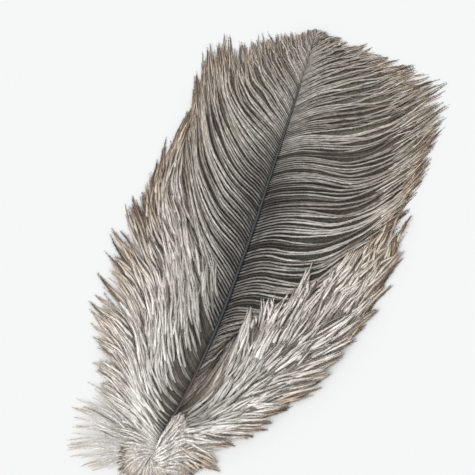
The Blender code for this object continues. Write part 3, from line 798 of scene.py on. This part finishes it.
def barb_finish(name, cord_stops, edge_stops, darkest, lightest, grain_and_glint):
    """Barb colour: a tone down a column's middle, and a darker one, partly painted shade, along the
    barbules.

    Both change from the root to the tip. The columns brighten evenly from the darkest to the
    lightest, dark ones browner, and their edges pale with them, less so towards the tip. Two
    noises mottle them: a slow one, colour that varies along a barb, and a finer one, scaled by its
    own argument, that is partly that colour and partly painted glints of the barbules' sheen.
    """
    finish = Finish(name, sheen=0.2)
    column = finish.u * float(TONES)
    out = (column.math("FRACT") - 0.5).math("ABSOLUTE") * 2.0
    share = column.math("FLOOR") * (1.0 / (TONES - 1.0))
    pale = share * share * (1.0 - finish.v.ramp(0.6, 0.92)) * 0.7
    # Partly painted shade: the rim darkens a column's edges, where cord flanks and barbules lie.
    rim = out.ramp(0.25, 0.8) * (1.0 - pale)
    shade = finish.mix(rim, finish.stops(finish.v, cord_stops), finish.stops(finish.v, edge_stops))
    slow = finish.noise(TONES * 3.0, 12.0) - 0.5
    # Partly painted glints: fine bright specks standing in for the barbules' sheen, partly colour
    # variation.
    fine = finish.noise(TONES * 5.0, 34.0, 3.0) - 0.5
    tone = share * (lightest - darkest) + darkest
    bright = slow * 1.3 + fine * grain_and_glint + 1.0
    powers = {"X": 0.93, "Y": 1.0, "Z": 1.07}
    channels = {axis: tone.math("POWER", power) * bright for axis, power in powers.items()}
    tint = finish.node("ShaderNodeCombineXYZ", {}, channels)
    return finish.done(finish.mix(1.0, shade, tint, "MULTIPLY"), 0.6 - fine * 0.6)


def web_finish(name, ribs, stops, late, turn):
    """Web: a tone from root to edge, partly painted shade, with streaks of barbules in painted shade.

    It turns to a late one over a span of the guides.
    """
    finish = Finish(name, sheen=0.1)
    rib = ((finish.u * float(ribs)).math("FRACT") - 0.5).math("ABSOLUTE") * 2.0
    shade = finish.mix(finish.u.ramp(*turn) * 0.92, finish.stops(finish.v, stops), color(late))
    streak = rib * 0.2 + finish.noise(110.0, 5.0) * 2.2 + finish.noise(160.0, 60.0) * 1.8 - 1.1
    grey = finish.node("ShaderNodeCombineXYZ", {}, {"X": streak, "Y": streak, "Z": streak})
    finish.relief(streak, depth=0.00015)
    return finish.done(finish.mix(1.0, shade, grey, "MULTIPLY"), 0.95 - rib * 0.2)


def shaft_finish():
    """Horn of the shaft: cream at the quill, brown, then slate grey; a painted highlight runs along its
    top.
    """
    finish = Finish("shaft_horn", sheen=0.0)
    tone = finish.stops(
        finish.v,
        [(0.0, "dedad3"), (0.02, "8a8178"), (0.04, "3f3e3f"), (0.10, "35363a"), (0.18, "4b3a32"),
         (0.26, "2c2e31"), (0.45, "303336"), (0.75, "3c3d3d"), (1.0, "5c5852")])
    # Painted highlight: a thin pale line of c4c3bf mixed in along the shaft's top.
    top = (finish.u - 0.5).math("ABSOLUTE")
    pale = 0.12 * (1.0 - top.ramp(0.02, 0.14))
    streaks = finish.noise(6.0, 160.0) * 0.5 + 0.75
    grey = finish.node("ShaderNodeCombineXYZ", {}, {"X": streaks, "Y": streaks, "Z": streaks})
    shade = finish.mix(pale, tone, color("c4c3bf"))
    finish.relief(streaks, depth=0.0001)
    return finish.done(finish.mix(1.0, shade, grey, "MULTIPLY"), streaks * 0.25 + 0.15)


def make_floor():
    """Plain pale floor."""
    half = FLOOR_HALF
    corners = [(-half, -half, 0), (half, -half, 0), (half, half, 0), (-half, half, 0)]
    mesh = bpy.data.meshes.new("floor")
    mesh.from_pydata(corners, [], [(0, 1, 2, 3)])
    floor = bpy.data.objects.new("floor", mesh)
    bpy.context.collection.objects.link(floor)
    material = bpy.data.materials.new("pale_floor")
    material.use_nodes = True
    shader = material.node_tree.nodes["Principled BSDF"]
    shader.inputs["Base Color"].default_value = FLOOR_COLOR
    shader.inputs["Roughness"].default_value = 0.9
    shader.inputs["Specular IOR Level"].default_value = 0.1
    mesh.materials.append(material)


def make_camera():
    """Camera at the aim's distance, turned about it and pitched down at it."""
    pitch, turn = np.radians(CAMERA_PITCH), np.radians(CAMERA_TURN)
    right = Vector((np.cos(turn), np.sin(turn), 0.0))
    ahead = Vector((-np.sin(turn), np.cos(turn), 0.0))
    aim = Vector(in_metres([[*CAMERA_AIM, 0.0]])[0].tolist())
    view = ahead * np.cos(pitch) - Vector((0.0, 0.0, 1.0)) * np.sin(pitch)
    up = right.cross(view)
    data = bpy.data.cameras.new("camera")
    data.lens = CAMERA_LENS
    data.clip_start = CAMERA_NEAREST
    camera = bpy.data.objects.new("camera", data)
    rotation = Matrix((right, up, -view)).transposed().to_4x4()
    camera.matrix_world = Matrix.Translation(aim - view * CAMERA_DISTANCE * MM) @ rotation
    bpy.context.collection.objects.link(camera)
    bpy.context.scene.camera = camera


def make_light():
    """Even pale surroundings and one broad soft light from the upper left."""
    world = bpy.data.worlds.new("studio")
    world.use_nodes = True
    world.node_tree.nodes["Background"].inputs["Color"].default_value = SURROUND_COLOR
    world.node_tree.nodes["Background"].inputs["Strength"].default_value = SURROUND_STRENGTH
    bpy.context.scene.world = world
    data = bpy.data.lights.new("broad_light", "SUN")
    data.energy = LIGHT_STRENGTH
    data.angle = np.radians(LIGHT_BREADTH)
    light = bpy.data.objects.new("broad_light", data)
    light.rotation_euler = (*np.radians(LIGHT_TURN), 0.0)
    bpy.context.collection.objects.link(light)
    bpy.context.scene.view_settings.view_transform = "Standard"


def vane_finish():
    """Barbs of the vanes: grey at the root, cream grey, then tan and dark brown at the point."""
    return barb_finish(
        "vane_barbs",
        [(0.0, "7d7b75"), (0.06, "817e79"), (0.25, "cac5bc"), (0.7, "cec5b9"), (0.84, "dac8b3"),
         (0.94, "9b7b60"), (1.0, "523f31")],
        # Edge tones: partly the barbules' own darker colour, partly painted shade between the barbs.
        [(0.0, "2a2825"), (0.06, "38352f"), (0.25, "4a453e"), (0.7, "595045"), (0.85, "664c39"),
         (1.0, "4a3426")],
        darkest=0.14, lightest=1.25, grain_and_glint=3.0)


def down_finish():
    """Strands of down: grey at the root, white, then tan and brown at the point."""
    return barb_finish(
        "down_barbs",
        [(0.0, "827f79"), (0.08, "b9b6b0"), (0.18, "e2dfd8"), (0.65, "f0e9e0"), (0.82, "dccab6"),
         (0.93, "9c7b60"), (1.0, "5c4535")],
        # Edge tones: partly the barbules' own darker colour, partly painted shade between the strands.
        [(0.0, "55524d"), (0.1, "7d776f"), (0.25, "aaa196"), (0.65, "ab9f91"), (0.85, "7d5f48"),
         (1.0, "503a2a")],
        darkest=0.16, lightest=1.14, grain_and_glint=2.2)


def dress_webs():
    """Webs under the vanes and under the down, darkened partly with painted shade."""
    # Vane web tones: partly the lower barbs' own colour, partly painted shade between the barbs.
    vane_stops = [(0.0, "3c3b37"), (0.4, "504c45"), (0.7, "655d52")]
    vane_web = web_finish("vane_web", ribs=120, stops=vane_stops, late="7b766c", turn=(0.5, 0.82))
    vane_reach = [(0, 0.84)]
    make_piece("left_web", web_sheet(LEFT_VANE, 240, vane_reach, low=0.8, high=2.3), vane_web)
    make_piece("right_web", web_sheet(RIGHT_VANE, 240, vane_reach, low=0.4, high=1.9), vane_web)
    # Down web tones, dark at the root: partly the lower strands' colour, partly painted shade.
    down_stops = [(0.0, "46423d"), (0.1, "5c554d"), (0.25, "8a8075"), (0.5, "aca296"), (0.8, "c2b8ab")]
    late = "e6dfd6"
    left_web = web_finish("left_down_web", ribs=60, stops=down_stops, late=late, turn=(0.45, 0.75))
    left_reach = [(0, 0.85), (5, 0.8), (8, 0.6)]
    left_sheet = web_sheet(LEFT_DOWN, 120, left_reach, low=0.2, high=2.3)
    make_piece("left_down_web", left_sheet, left_web)
    right_web = web_finish("right_down_web", ribs=60, stops=down_stops, late=late, turn=(0.2, 0.6))
    right_reach = [(0, 0.95), (4, 0.98), (6, 0.85), (9, 0.65)]
    right_sheet = web_sheet(RIGHT_BASE, 120, right_reach, low=0.2, high=2.3)
    make_piece("right_down_web", right_sheet, right_web)


def dress_layers(layers, finish):
    """Barbs and barbules of each layer."""
    for layer in layers:
        barbs = grow_barbs(layer)
        make_piece(layer.name + "_barbs", barb_cords(barbs), finish)
        make_piece(layer.name + "_barbules", barbule_spikes(barbs), finish)


make_camera()
make_light()
make_floor()
dress_webs()
make_piece("shaft", shaft_tube(), shaft_finish())
dress_layers((LEFT_VANE, RIGHT_VANE, LEFT_EDGE, RIGHT_EDGE), vane_finish())
dress_layers((LEFT_BASE, RIGHT_BASE, LEFT_DOWN, RIGHT_DOWN, RIGHT_SEAM, WISPS, QUILL_DOWN, QUILL_COVER),
             down_finish())
